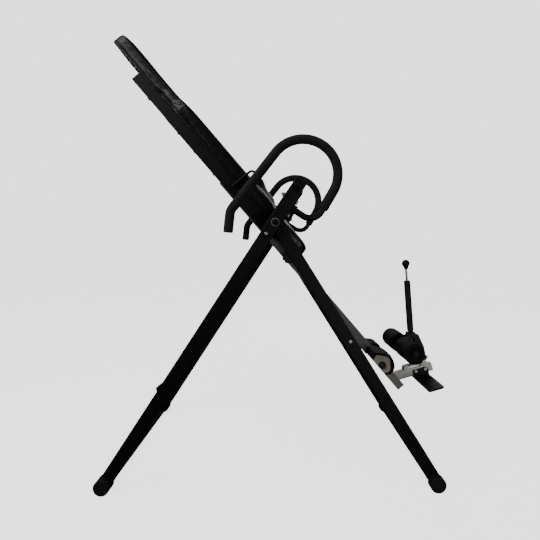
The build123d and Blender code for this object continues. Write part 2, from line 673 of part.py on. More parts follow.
def selector_knob():
    """Lobed knob on the end of the pin, 1 mm clear of the boss."""
    start = -BOOM_OUTER / 2 - COLLAR_LONG - 1.0
    with BuildPart() as knob:
        rod(BED, (KNOB_U, BOOM_V), 12, start, start - 6)
        with BuildSketch(BED.offset(-start + 6)):
            with Locations((KNOB_U, BOOM_V)):
                Circle(KNOB_R)
                with PolarLocations(KNOB_R + 2, 8):
                    Circle(5, mode=Mode.SUBTRACT)
        extrude(amount=16)
        fillet(knob.edges().group_by(Axis.Y)[0], 2)
        rod(BED, (KNOB_U, BOOM_V), PIN_R, start, start + 1 - PIN_TAIL, mode=Mode.SUBTRACT)
    return knob


def coil(plane, centre, radius, wire, y0, y1, turns):
    """A compression spring along Y."""
    base = plane.from_local_coords((*centre, -max(y0, y1)))
    length = abs(y1 - y0)
    with BuildPart() as spring:
        with BuildLine() as path:
            Helix(length / turns, length, radius, center=base, direction=(0, -1, 0))
        with BuildSketch(Plane(origin=path.line @ 0, z_dir=path.line % 0)):
            Circle(wire)
        sweep(path=path.line, is_frenet=True)
    return spring


def backrest_screws():
    """Screws through the rails into the board."""
    with BuildPart() as screws:
        for side in (RIGHT, LEFT):
            for u in SCREW_US:
                with BuildSketch(pad_plane(RAIL_V[0] - 3)):
                    with Locations((u, side * RAIL_Y)):
                        Circle(6)
                extrude(amount=3)
    return screws


def tether_loop():
    """Small wire eye on the right rail beside the cushion."""
    u0, u1 = LOOP_U
    with BuildPart() as loop:
        with BuildLine(BED.offset(-LOOP_Y)) as path:
            crown = ((u0 + u1) / 2, LOOP_TOP + (u1 - u0) / 2)
            Line((u0, LOOP_FOOT), (u0, LOOP_TOP))
            ThreePointArc((u0, LOOP_TOP), crown, (u1, LOOP_TOP))
            Line((u1, LOOP_TOP), (u1, LOOP_FOOT))
        with BuildSketch(Plane(origin=path.line @ 0, z_dir=path.line % 0)):
            Circle(LOOP_WIRE)
        sweep(path=path.line)
        edge = -(RAIL_Y + RAIL_WIDTH / 2)
        slab(BED, (u0 - 4, LOOP_FOOT - 8), (u1 + 4, LOOP_FOOT + 6), edge, LOOP_Y)
    return loop


# ---- sliding boom and foot end -----------------------------------------------------------------


def boom_inner():
    """Sliding square tube with its row of height holes."""
    with BuildPart() as boom:
        size = (BOOM_INNER, BOOM_INNER)
        box_tube(BED, *BOOM_INNER_U, BOOM_V, 0, size, BOOM_INNER_WALL, 3)
        for k in range(HOLE_COUNT):
            centre = (KNOB_U - HOLE_STEP * k, BOOM_V)
            rod(BED, centre, HOLE_R, -BOOM_INNER, -BOOM_INNER / 3, mode=Mode.SUBTRACT)
        rod(BED, HEEL_TUBE_UV, HEEL_TUBE_R, -BOOM_INNER, BOOM_INNER, mode=Mode.SUBTRACT)
    return boom


def heel_tube():
    with BuildPart() as tube:
        reach = HEEL_Y[1] - 4
        rod(BED, HEEL_TUBE_UV, HEEL_TUBE_R, -reach, reach)
        rod(BED, HEEL_TUBE_UV, HEEL_TUBE_R - 2, -reach, reach, mode=Mode.SUBTRACT)
    return tube


def heel_block(inset, y0, y1, mode=Mode.ADD):
    """D section of a heel pad: flat along the boom, domed towards the ankles."""
    u0, u1 = HEEL_U[0] + inset, HEEL_U[1] - inset
    v0, v1 = HEEL_V[0], HEEL_V[1] - inset
    start, end = (u0 + 2, v0 + 22), (u1, v0 + 14)
    with BuildSketch(BED.offset(-max(y0, y1))) as section:
        with BuildLine():
            Polyline(start, (u0 + 10, v0), (u1 - 9, v0), end)
            crown = ((u0 + u1) / 2 + 8, v1)
            Spline(end, (u1 - 14, v1 - 12), crown, start, tangents=((0, 1), (-1, -0.9)))
        make_face()
    extrude(section.sketch, amount=abs(y1 - y0), mode=mode)


def heel_pads():
    """Foam pads round the heel cores."""
    with BuildPart() as pads:
        for side in (RIGHT, LEFT):
            ends = side * HEEL_Y[0], side * HEEL_Y[1]
            heel_block(0, *ends)
            heel_block(HEEL_FOAM, *ends, mode=Mode.SUBTRACT)
    return pads


def heel_cores():
    """Moulded cores on the heel tube, each with an oblong recess in its outer end."""
    with BuildPart() as cores:
        for side in (RIGHT, LEFT):
            ends = side * (HEEL_Y[0] + 2), side * HEEL_Y[1]
            heel_block(HEEL_FOAM, *ends)
            rod(BED, HEEL_TUBE_UV, HEEL_TUBE_R, *ends, mode=Mode.SUBTRACT)
            recess = side * (HEEL_Y[1] - HEEL_RECESS), side * HEEL_Y[1]
            with BuildSketch(BED.offset(-max(recess))):
                with Locations(HEEL_TUBE_UV):
                    SlotOverall(*HEEL_OBLONG)
            extrude(amount=HEEL_RECESS, mode=Mode.SUBTRACT)
    return cores


def heel_caps():
    """Dark oblong caps that close the heel cores."""
    with BuildPart() as caps:
        for side in (RIGHT, LEFT):
            faces = side * (HEEL_Y[1] - HEEL_RECESS), side * (HEEL_Y[1] - 1)
            with BuildSketch(BED.offset(-max(faces))):
                with Locations(HEEL_TUBE_UV):
                    SlotOverall(*HEEL_OBLONG)
            extrude(amount=HEEL_RECESS - 1)
    return caps


def ankle_bar():
    """Square tube welded on the boom's end, with a stop block on top under the rollers."""
    with BuildPart() as bar:
        box_tube(BAR, -30, BAR_LONG, 0, 0, (BAR_SIZE, BAR_SIZE), 3, 4)
        top = BOOM_V + BOOM_INNER / 2
        slab(BED, (600, top - 80), (1000, top), -60, 60, mode=Mode.SUBTRACT)
        for centre in FOOT_BOLTS:
            rod(SIDE, centre, FOOT_BOLT_R, -BAR_SIZE, BAR_SIZE, mode=Mode.SUBTRACT)
        near, far, rest = 36.0, 62.0, BAR_SIZE / 2 - 1
        corners = [(near, rest), (far, rest), (far - 5, rest + 15), (near + 4, rest + 13)]
        shaped_slab(BAR, corners, 1.5, -15, 15)
    return bar


def foot_bracket():
    """Channel that wraps the ankle bar from below and carries the foot plate."""
    (u0, u1), half = BRACKET_ALONG, BAR_SIZE / 2
    drop = half + BRACKET_BASE
    with BuildPart() as bracket:
        for side in (RIGHT, LEFT):
            faces = side * half, side * (half + BRACKET_WALL)
            corners = [(u0, half - 8), (u1 - 8, half - 8), (u1, 0), (u1, -drop), (u0, -drop)]
            shaped_slab(BAR, corners, 2, *faces)
        slab(BAR, (u0, -drop), (u1, -half), -half, half)
        for centre in FOOT_BOLTS:
            rod(SIDE, centre, FOOT_BOLT_R, -BAR_SIZE, BAR_SIZE, mode=Mode.SUBTRACT)
    return bracket


def bar_face(height, along):
    """A plane parallel to the ankle bar's top: x along the bar, y across, normal up."""
    origin = BAR.from_local_coords((along, height, 0))
    return Plane(origin=origin, x_dir=BAR.x_dir, z_dir=BAR.y_dir)


def foot_plate():
    """Tread under the bracket, with grip ribs for both feet."""
    deep, wide, thick = FOOT_PLATE
    top = -BAR_SIZE / 2 - BRACKET_BASE
    with BuildPart() as plate:
        with BuildSketch(bar_face(top, TREAD_ALONG + deep / 2)):
            RectangleRounded(deep, wide, 9)
        extrude(amount=-thick)
        fillet(plate.edges().group_by(SortBy.LENGTH)[-1], 1.5)
        for side in (RIGHT, LEFT):
            with BuildSketch(bar_face(top, TREAD_ALONG + deep / 2)):
                with GridLocations(9, 0, 5, 1):
                    with Locations((0, side * 95)):
                        SlotOverall(100, 3, rotation=90)
            extrude(amount=1.2)
    return plate


def foot_bolts():
    with BuildPart() as bolts:
        outside = BAR_SIZE / 2 + BRACKET_WALL
        for centre in FOOT_BOLTS:
            rod(SIDE, centre, FOOT_BOLT_R, -outside, outside + 8)
            rod(SIDE, centre, 8, outside, outside + 1.2)
            hex_nut(SIDE, centre, FOOT_NUT, outside + 1.2, outside + 7)
            rod(SIDE, centre, FOOT_BOLT_HEAD_R, -outside - 4, -outside)
            dome = bolts.edges().filter_by(GeomType.CIRCLE).sort_by(Axis.Y)[0]
            fillet(dome, 2.5)
    return bolts


def clamp_lug():
    """Ears on the ankle bar for the clamp's pivot, and the slanted catch behind them."""
    half = CLAMP_IN - CLAMP_GAP
    x, z = CLAMP_PIVOT
    foot = BAR.to_local_coords(Vector(x, 0, z))
    rest = BAR_SIZE / 2
    with BuildPart() as lug:
        with BuildSketch(BAR.offset(-half)):
            with BuildLine():
                low, high = ((foot.X - 12, rest), (foot.X + 14, rest)), (foot.X + 12, foot.Y)
                Polyline(*low, high, (foot.X - 10, foot.Y), close=True)
            make_face()
            with Locations((foot.X, foot.Y)):
                Circle(11)
        extrude(amount=2 * half)
        low, high = (foot.X - 30, rest + 4), (foot.X + 30, foot.Y + 30)
        slab(BAR, low, high, -half + 4, half - 4, mode=Mode.SUBTRACT)
        rod(SIDE, CLAMP_PIVOT, PIVOT_R, -half, half, mode=Mode.SUBTRACT)
        low = BAR.from_local_coords((BAR_LONG - 31, rest, 0))
        slant = line_plane((low.X, low.Z), (low.X + 20, low.Z + 36))
        slab(slant, (-8, -2.5), (38, 2.5), -9, 9)
        slab(BAR, (0, -BAR_SIZE), (BAR_LONG + 40, rest), -30, 30, mode=Mode.SUBTRACT)
    return lug


def clamp_plates():
    """Twin black plates of the ankle clamp, joined by a bridge at the lever's foot."""
    with BuildPart() as plates:
        for side in (RIGHT, LEFT):
            faces = side * CLAMP_IN, side * (CLAMP_IN + CLAMP_THICK)
            shaped_slab(SIDE, CLAMP_OUTLINE, 6, *faces)
            shaped_slab(SIDE, CLAMP_WINDOW, 2, *faces, mode=Mode.SUBTRACT)
            rod(SIDE, ROLLER_AXIS, AXLE_R, *faces, mode=Mode.SUBTRACT)
            rod(SIDE, CLAMP_PIVOT, PIVOT_R + RUNNING, *faces, mode=Mode.SUBTRACT)
        slab(LEVER, (-8, -15), (8, 15), -CLAMP_IN, CLAMP_IN)
        with BuildSketch(LEVER_SECTION.offset(-10)):
            Circle(LEVER_R)
        extrude(amount=40, mode=Mode.SUBTRACT)
    return plates


def clamp_pivot():
    """Bolt that the clamp turns on, fixed in the lug."""
    outside = CLAMP_IN + CLAMP_THICK + 0.3
    with BuildPart() as bolt:
        rod(SIDE, CLAMP_PIVOT, PIVOT_R, -outside - 6, outside)
        rod(SIDE, CLAMP_PIVOT, 9, outside, outside + 4)
        hex_nut(SIDE, CLAMP_PIVOT, 15, -outside - 5, -outside)
    return bolt


def lever_tube():
    with BuildPart() as tube:
        with BuildSketch(LEVER_SECTION.offset(-8)):
            Circle(LEVER_R)
            Circle(LEVER_R - LEVER_WALL, mode=Mode.SUBTRACT)
        extrude(amount=LEVER_LONG + 4)
        with BuildSketch(LEVER_SECTION.offset(LEVER_LONG - 8)):
            Circle(LEVER_R - LEVER_WALL)
            Circle(ROD_R + RUNNING, mode=Mode.SUBTRACT)
        extrude(amount=4)
    return tube


def lever_grip():
    with BuildPart() as grip:
        with BuildSketch(LEVER_SECTION.offset(12)):
            Circle(LEVER_GRIP_R)
            Circle(LEVER_R, mode=Mode.SUBTRACT)
        extrude(amount=LEVER_LONG - 14)
        with BuildSketch(LEVER_SECTION.offset(LEVER_LONG - 2)):
            Circle(LEVER_GRIP_R)
            Circle(ROD_R + 0.5, mode=Mode.SUBTRACT)
        extrude(amount=3)
        fillet(grip.edges().filter_by(GeomType.CIRCLE).sort_by(Axis.Z)[-2:], 1)
    return grip


def lock_rod():
    """Bright rod in the lever, with the shoulder that its spring pushes on."""
    with BuildPart() as shaft:
        with BuildSketch(LEVER_SECTION.offset(20)):
            Circle(ROD_R)
        extrude(amount=BALL_UP - 20 - 2)
        with BuildSketch(LEVER_SECTION.offset(LEVER_LONG - 60)):
            Circle(LEVER_R - LEVER_WALL - 0.6)
        extrude(amount=4)
    return shaft


def lock_knob():
    """Ball knob with a neck that tapers down to the rod."""
    with BuildPart() as knob:
        with Locations(LEVER.from_local_coords((BALL_UP, 0, 0))):
            Sphere(BALL_R)
        with BuildSketch(LEVER_SECTION.offset(BALL_UP - 23)):
            Circle(7)
        with BuildSketch(LEVER_SECTION.offset(BALL_UP - 9)):
            Circle(12)
        loft()
        with BuildSketch(LEVER_SECTION.offset(BALL_UP - 24)):
            Circle(ROD_R)
        extrude(amount=22, mode=Mode.SUBTRACT)
    return knob


def roller_axle():
    """Axle through the clamp plates with a washer and a dome nut at each end."""
    end, inner = ROLLER_Y[1] + 1, CLAMP_IN + CLAMP_THICK
    with BuildPart() as axle:
        rod(SIDE, ROLLER_AXIS, AXLE_R, -end, end)
        for side in (RIGHT, LEFT):
            rod(SIDE, ROLLER_AXIS, 12, side * end, side * (end + 1.5))
            rod(SIDE, ROLLER_AXIS, AXLE_R, side * (end + 1.5), side * (end + 6))
            rod(SIDE, ROLLER_AXIS, 12, side * inner, side * (inner + 3))
        round_ends(axle, 2)
    return axle


def roller_core(side):
    """Plastic tube that the foam roller turns with."""
    ends = side * ROLLER_Y[0], side * ROLLER_Y[1]
    with BuildPart() as core:
        rod(SIDE, ROLLER_AXIS, CORE_R, *ends)
        rod(SIDE, ROLLER_AXIS, AXLE_R + 2 * RUNNING, *ends, mode=Mode.SUBTRACT)
    return core


def roller_foam(side):
    """Foam roller with shallow grooves round it."""
    y0, y1 = ROLLER_Y[0] + 1, ROLLER_Y[1] - 1
    with BuildPart() as foam:
        rod(SIDE, ROLLER_AXIS, ROLLER_R, side * y0, side * y1)
        fillet(foam.edges().filter_by(GeomType.CIRCLE), 7)
        for k in range(1, 5):
            middle = y0 + (y1 - y0) * k / 5
            groove = side * (middle - 2), side * (middle + 2)
            with BuildSketch(SIDE.offset(-max(groove))):
                with Locations(ROLLER_AXIS):
                    Circle(ROLLER_R + 2)
                    Circle(ROLLER_R - 2.5, mode=Mode.SUBTRACT)
            extrude(amount=4, mode=Mode.SUBTRACT)
        rod(SIDE, ROLLER_AXIS, CORE_R, side * y0, side * y1, mode=Mode.SUBTRACT)
    return foam


# ---- build and write every piece ---------------------------------------------------------------

for side in (RIGHT, LEFT):
    finish(front_leg(side), f"front_leg_{SIDE_NAME[side]}")
    finish(handle_tube(side), f"handle_tube_{SIDE_NAME[side]}")
    finish(handle_grip(side), f"handle_grip_{SIDE_NAME[side]}")
    finish(rear_leg(side), f"rear_leg_{SIDE_NAME[side]}")
    finish(side_rail(side), f"side_rail_{SIDE_NAME[side]}")
    finish(hinge_plate(side), f"hinge_plate_{SIDE_NAME[side]}")
    finish(roller_core(side), f"roller_core_{SIDE_NAME[side]}")
    finish(roller_foam(side), f"roller_foam_{SIDE_NAME[side]}")

finish(crossbar(FRONT_FOOT, FRONT_CAP_END), "front_crossbar")
finish(crossbar(REAR_FOOT, REAR_CAP_END), "rear_crossbar")
finish(foot_caps(FRONT_FOOT, FRONT_CAP_END, notched=True), "front_foot_caps")
finish(foot_caps(REAR_FOOT, REAR_CAP_END, notched=False), "rear_foot_caps")
finish(handle_bolts(), "handle_bolts")
finish(leg_clips(), "leg_clips")
finish(arm_plugs(), "arm_plugs")
finish(arm_studs(), "arm_studs")
finish(tilt_bolts(), "tilt_bolts")
finish(tilt_spacers(), "tilt_spacers")
finish(leg_hinge_bolts(), "leg_hinge_bolts")
finish(leg_hinge_washers(), "leg_hinge_washers")
finish(rear_brace(), "rear_brace")
finish(brace_bolts(), "brace_bolts")
finish(backrest_board(), "backrest_board")
finish(backrest_pad(), "backrest_pad")
finish(backrest_screws(), "backrest_screws")
finish(bed_crossbars(), "bed_crossbars")
finish(pivot_cross_tubes(), "pivot_cross_tubes")
finish(tilt_bushes(), "tilt_bushes")
finish(tether_loop(), "tether_loop")
finish(boom_outer(), "boom_outer")
finish(boom_sleeve(), "boom_sleeve")
finish(selector_collar(), "selector_collar")
finish(selector_pin(), "selector_pin")
finish(selector_knob(), "selector_knob")
spring_ends = -BOOM_OUTER / 2 - 7, -BOOM_OUTER / 2 - COLLAR_LONG + 3
finish(coil(BED, (KNOB_U, BOOM_V), SPRING_R, SPRING_WIRE, *spring_ends, SPRING_TURNS), "selector_spring")
finish(boom_inner(), "boom_inner")
finish(heel_tube(), "heel_tube")
finish(heel_pads(), "heel_pads")
finish(heel_cores(), "heel_cores")
finish(heel_caps(), "heel_caps")
finish(ankle_bar(), "ankle_bar")
finish(foot_bracket(), "foot_bracket")
finish(foot_plate(), "foot_plate")
finish(foot_bolts(), "foot_bolts")
finish(clamp_lug(), "clamp_lug")
finish(clamp_pivot(), "clamp_pivot")
finish(clamp_plates(), "clamp_plates")
finish(lever_tube(), "lever_tube")
finish(lever_grip(), "lever_grip")
finish(roller_axle(), "roller_axle")
finish(lock_rod(), "lock_rod")
finish(lock_knob(), "lock_knob")
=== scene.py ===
"""Looks of the inversion table: soft parts, trim, materials, floor, lights and camera, in metres."""

import json
from math import acos, atan2, cos, pi, radians, sin, tan

import bmesh
import bpy
from mathutils import Matrix, Vector, noise
from mathutils.bvhtree import BVHTree


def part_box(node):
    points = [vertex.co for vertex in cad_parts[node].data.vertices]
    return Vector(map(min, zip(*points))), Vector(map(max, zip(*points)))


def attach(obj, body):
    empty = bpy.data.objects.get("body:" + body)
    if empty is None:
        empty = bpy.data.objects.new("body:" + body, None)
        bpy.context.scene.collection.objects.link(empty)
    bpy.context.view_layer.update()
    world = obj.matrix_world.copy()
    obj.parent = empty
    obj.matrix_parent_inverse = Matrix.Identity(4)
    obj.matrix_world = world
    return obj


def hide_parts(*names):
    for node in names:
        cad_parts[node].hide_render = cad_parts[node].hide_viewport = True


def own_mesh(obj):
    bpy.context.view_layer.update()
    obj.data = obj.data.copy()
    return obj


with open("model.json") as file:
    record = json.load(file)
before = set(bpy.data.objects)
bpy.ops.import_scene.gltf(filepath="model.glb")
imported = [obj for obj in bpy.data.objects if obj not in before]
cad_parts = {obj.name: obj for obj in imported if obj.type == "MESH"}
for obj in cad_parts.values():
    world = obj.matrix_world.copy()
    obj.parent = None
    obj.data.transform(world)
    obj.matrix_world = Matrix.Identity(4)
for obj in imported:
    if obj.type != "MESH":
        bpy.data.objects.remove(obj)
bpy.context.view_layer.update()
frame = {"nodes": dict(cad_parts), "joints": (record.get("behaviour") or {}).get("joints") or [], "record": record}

# ---- places in the frame -----------------------------------------------------------------------

JOINTS = {joint["name"]: joint for joint in frame["joints"]}
PIVOT = Vector(JOINTS["bed_tilt"]["pos_m"])
ALONG = Vector(JOINTS["height_adjust"]["axis"]).normalized()  # down the bed, head to foot
ABOVE = Vector((-ALONG.z, 0, ALONG.x))  # out of the cushion
ROLLERS = Vector(JOINTS["right_roller_spin"]["pos_m"])
SIDES = {"right": -1, "left": 1}


def bed(u, y, v):
    """A point from its distance along the bed, across it and above it."""
    return PIVOT + ALONG * u + ABOVE * v + Vector((0, y, 0))


def bed_coordinates(point):
    away = point - PIVOT
    return away.dot(ALONG), point.y, away.dot(ABOVE)


# ---- materials ---------------------------------------------------------------------------------


class Nodes:
    """A material's node tree, with short ways to add the nodes used here."""

    def __init__(self, name):
        self.material = bpy.data.materials.new(name)
        self.material.use_nodes = True
        self.tree = self.material.node_tree
        self.shader = self.tree.nodes["Principled BSDF"]
        self.place = self.add("ShaderNodeTexCoord").outputs["Object"]

    def add(self, kind, **values):
        node = self.tree.nodes.new(kind)
        for key, value in values.items():
            if key in node.inputs:
                node.inputs[key].default_value = value
            else:
                setattr(node, key, value)
        return node

    def link(self, output, target):
        self.tree.links.new(output, target)

    def stretched(self, scale):
        node = self.add("ShaderNodeMapping")
        node.inputs["Scale"].default_value = scale
        self.link(self.place, node.inputs["Vector"])
        return node.outputs["Vector"]

    def noise(self, scale, detail=4.0, rough=0.55, place=None):
        node = self.add("ShaderNodeTexNoise", Scale=scale, Detail=detail, Roughness=rough)
        self.link(place or self.place, node.inputs["Vector"])
        return node.outputs["Fac"]

    def cells(self, scale, feature="F1", place=None):
        node = self.add("ShaderNodeTexVoronoi", feature=feature, Scale=scale)
        self.link(place or self.place, node.inputs["Vector"])
        return node.outputs["Distance"]

    def ramp(self, value, low, high, dark, light):
        node = self.add("ShaderNodeValToRGB")
        node.color_ramp.elements[0].position = low
        node.color_ramp.elements[1].position = high
        node.color_ramp.elements[0].color = (*dark, 1)
        node.color_ramp.elements[1].color = (*light, 1)
        self.link(value, node.inputs["Fac"])
        return node.outputs["Color"]

    def spread(self, value, low, high):
        node = self.add("ShaderNodeMapRange")
        node.inputs["To Min"].default_value = low
        node.inputs["To Max"].default_value = high
        self.link(value, node.inputs["Value"])
        return node.outputs["Result"]

    def mix(self, amount, first, second):
        node = self.add("ShaderNodeMix", data_type="RGBA")
        self.link(amount, node.inputs["Factor"])
        self.link(first, node.inputs[6])
        self.link(second, node.inputs[7])
        return node.outputs[2]

    def bump(self, *layers):
        """Stack bumps: each layer is (height, strength, distance)."""
        last = None
        for height, strength, depth in layers:
            node = self.add("ShaderNodeBump", Strength=strength, Distance=depth)
            self.link(height, node.inputs["Height"])
            if last:
                self.link(last, node.inputs["Normal"])
            last = node.outputs["Normal"]
        self.link(last, self.shader.inputs["Normal"])

    def colour(self, output):
        self.link(output, self.shader.inputs["Base Color"])

    def roughness(self, output):
        self.link(output, self.shader.inputs["Roughness"])

    def set(self, **values):
        for key, value in values.items():
            self.shader.inputs[key.replace("_", " ")].default_value = value
        return self.material


def tint(colour, factor):
    return tuple(min(1.0, c * factor) for c in colour)


def powder_coat(name, colour, gloss=0.42, metallic=0.0):
    """Sprayed and baked paint: fine orange peel, faint scuffs and a thin film of dust."""
    n = Nodes(name)
    film = n.noise(9, 6, 0.62)
    scuffs = n.noise(1, 5, 0.7, n.stretched((260, 60, 60)))
    base = n.ramp(film, 0.35, 0.7, tint(colour, 0.8), tint(colour, 1.25))
    worn = n.ramp(scuffs, 0.0, 1.0, tint(colour, 2.0), tint(colour, 2.6))
    mask = n.ramp(scuffs, 0.66, 0.8, (0, 0, 0), (0.5, 0.5, 0.5))
    n.colour(n.mix(mask, base, worn))
    n.roughness(n.spread(n.noise(26, 5), gloss - 0.08, gloss + 0.1))
    n.bump((n.noise(1400, 2), 0.25, 0.0004), (n.cells(700), 0.12, 0.0003), (n.noise(60, 3), 0.05, 0.001))
    return n.set(Metallic=metallic, Specular_IOR_Level=0.34)


def vinyl(name, colour):
    """Upholstery vinyl: pebbled grain with painted shade in its dimples, soft sheen, and faint stretch marks."""
    n = Nodes(name)
    grain = n.cells(620, "F1")
    pores = n.cells(1500, "F1")
    folds = n.noise(1, 4, 0.6, n.stretched((14, 40, 14)))
    base = n.ramp(n.noise(7, 6, 0.6), 0.3, 0.75, tint(colour, 0.75), tint(colour, 1.3))
    # painted shade: the grain's dimples, the low spots of its bump, are coloured darker
    dimple_shade = n.ramp(pores, 0, 1, tint(colour, 0.5), tint(colour, 0.8))
    n.colour(n.mix(n.ramp(grain, 0.0, 0.5, (0.6,) * 3, (0.0,) * 3), base, dimple_shade))
    n.roughness(n.spread(n.noise(18, 5), 0.28, 0.42))
    n.bump((grain, 0.12, 0.0005), (pores, 0.06, 0.0003), (folds, 0.12, 0.003))
    return n.set(Specular_IOR_Level=0.5, Coat_Weight=0.08, Coat_Roughness=0.3, Sheen_Weight=0.04)


def foam(name, colour, pore, sheen):
    """Closed-cell foam skin: open pores with painted shade inside them, soft mottling and a dusty sheen."""
    n = Nodes(name)
    pores = n.cells(pore)
    lumps = n.noise(120, 4)
    base = n.ramp(n.noise(45, 6, 0.65), 0.3, 0.72, tint(colour, 0.65), tint(colour, 1.5))
    # painted shade: the pores' hollows, the low spots of the bump, are coloured darker
    pore_shade = n.ramp(pores, 0, 1, tint(colour, 0.3), tint(colour, 0.5))
    n.colour(n.mix(n.ramp(pores, 0.05, 0.35, (0.8,) * 3, (0.0,) * 3), base, pore_shade))
    n.roughness(n.spread(lumps, 0.62, 0.82))
    n.bump((pores, 0.5, 0.0006), (n.noise(500, 3), 0.3, 0.0005), (lumps, 0.12, 0.0015))
    return n.set(Sheen_Weight=sheen, Sheen_Roughness=0.5, Specular_IOR_Level=0.35)


def plastic(name, colour, gloss=0.45, pebble=1100.0):
    """Moulded plastic: fine spark-eroded texture and slight flow marks."""
    n = Nodes(name)
    n.colour(n.ramp(n.noise(30, 5), 0.3, 0.7, tint(colour, 0.85), tint(colour, 1.2)))
    n.roughness(n.spread(n.noise(70, 4), gloss - 0.06, gloss + 0.1))
    n.bump((n.noise(pebble, 2), 0.25, 0.0003), (n.noise(40, 3), 0.04, 0.002))
    return n.set(Specular_IOR_Level=0.5)


def rubber(name, colour):
    n = Nodes(name)
    n.colour(n.ramp(n.noise(55, 7, 0.7), 0.32, 0.74, tint(colour, 0.7), tint(colour, 2.0)))
    n.roughness(n.spread(n.noise(90, 4), 0.6, 0.85))
    n.bump((n.noise(800, 3), 0.35, 0.0005), (n.noise(90, 4), 0.15, 0.001))
    return n.set(Specular_IOR_Level=0.4)


def metal(name, colour, gloss, grain, marks=0.3):
    """Bare or plated steel: drawn lines, clouding of the plating and a few darker spots."""
    n = Nodes(name)
    lines = n.noise(1, 4, 0.6, n.stretched(grain))
    cloud = n.noise(35, 6, 0.65)
    base = n.ramp(cloud, 0.3, 0.7, tint(colour, 0.82), tint(colour, 1.08))
    spots = n.ramp(n.noise(240, 5, 0.7), 0.62, 0.75, (0, 0, 0), (marks,) * 3)
    n.colour(n.mix(spots, base, n.ramp(cloud, 0, 1, tint(colour, 0.35), tint(colour, 0.5))))
    n.roughness(n.spread(lines, gloss - 0.07, gloss + 0.12))
    n.bump((lines, 0.12, 0.0003), (n.noise(600, 3), 0.06, 0.0003))
    return n.set(Metallic=1.0)


def painted_board(name, colour):
    """Black-sprayed plywood: faint long grain under the paint."""
    n = Nodes(name)
    grain = n.noise(1, 6, 0.6, n.stretched((12, 180, 12)))
    n.colour(n.ramp(grain, 0.35, 0.65, tint(colour, 0.7), tint(colour, 1.5)))
    n.roughness(n.spread(grain, 0.45, 0.65))
    n.bump((grain, 0.3, 0.0008), (n.noise(500, 3), 0.1, 0.0003))
    return n.set(Specular_IOR_Level=0.4)


MATERIALS = {
    "black_powder_coat": powder_coat("black powder coat", (0.010, 0.0105, 0.012)),
    "grey_powder_coat": powder_coat("grey powder coat", (0.25, 0.253, 0.262), 0.45),
    "light_grey_paint": powder_coat("light grey paint", (0.40, 0.385, 0.35), 0.42),
    "zinc_plate": metal("zinc plate", (0.80, 0.785, 0.74), 0.4, (40, 500, 40)),
    "bright_fasteners": metal("bright fasteners", (0.92, 0.92, 0.90), 0.42, (300, 300, 300), 0.15),
    "black_fasteners": powder_coat("black oxide steel", (0.022, 0.022, 0.024), 0.34, 0.6),
    "bright_rod": metal("bright rod", (0.62, 0.62, 0.63), 0.16, (900, 900, 20), 0.1),
    "black_plastic": plastic("black plastic", (0.012, 0.012, 0.013)),
    "beige_plastic": plastic("beige plastic", (0.60, 0.535, 0.44), 0.42),
    "black_rubber": rubber("black rubber", (0.018, 0.018, 0.0175)),
    "foam_grip": foam("grip foam", (0.022, 0.0225, 0.024), 1100.0, 0.3),
    "roller_foam": foam("roller foam", (0.005, 0.005, 0.0055), 700.0, 0.06),
    "black_board": painted_board("painted board", (0.014, 0.014, 0.015)),
    "padded_vinyl": vinyl("black vinyl", (0.0135, 0.0138, 0.015)),
}

SLOT_OF = {entry["node"]: entry["material_slot"] for entry in frame["record"]["subparts"]}


def dress_cad():
    """Give each CAD node the detailed material of its slot."""
    for name, node in frame["nodes"].items():
        material = MATERIALS[SLOT_OF[name]]
        for holder in node.material_slots:
            holder.material = material


# ---- mesh helpers ------------------------------------------------------------------------------


def add_piece(name, vertices, faces, body, slot, stands_for=(), smooth=True):
    """A mesh piece that rides on a body and takes its finish from a slot."""
    mesh = bpy.data.meshes.new(name)
    mesh.from_pydata([tuple(v) for v in vertices], [], faces)
    shape = bmesh.new()
    shape.from_mesh(mesh)
    bmesh.ops.recalc_face_normals(shape, faces=shape.faces)
    shape.to_mesh(mesh)
    shape.free()
    piece = bpy.data.objects.new(name, mesh)
    bpy.context.scene.collection.objects.link(piece)
    mesh.materials.append(MATERIALS[slot])
    if smooth:
        mesh.polygons.foreach_set("use_smooth", [True] * len(mesh.polygons))
    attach(piece, body)
    if stands_for:
        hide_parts(*stands_for)
    return piece


def loft(rings, closed_ends=True, looped=False):
    """Vertices and faces of a skin over rings of equal length."""
    count = len(rings[0])
    vertices = [point for ring in rings for point in ring]
    faces = []
    pairs = list(zip(range(len(rings)), range(1, len(rings))))
    if looped:
        pairs.append((len(rings) - 1, 0))
    for a, b in pairs:
        for k in range(count):
            n = (k + 1) % count
            faces.append((a * count + k, a * count + n, b * count + n, b * count + k))
    if closed_ends and not looped:
        faces.append(tuple(range(count)))
        last = (len(rings) - 1) * count
        faces.append(tuple(last + k for k in reversed(range(count))))
    return vertices, faces


def tube(points, radius, segments=12, closed=False):
    """A skin round a line of points."""
    rings = []
    count = len(points)
    side = None
    for i, point in enumerate(points):
        before = points[(i - 1) % count] if closed or i else point
        after = points[(i + 1) % count] if closed or i < count - 1 else point
        run = (after - before).normalized()
        guess = side or Vector((0.3, 0.9, 0.31))
        side = (guess - run * guess.dot(run)).normalized()
        up = run.cross(side)
        turns = [2 * pi * k / segments for k in range(segments)]
        rings.append([point + radius * (side * cos(t) + up * sin(t)) for t in turns])
    return loft(rings, looped=closed)


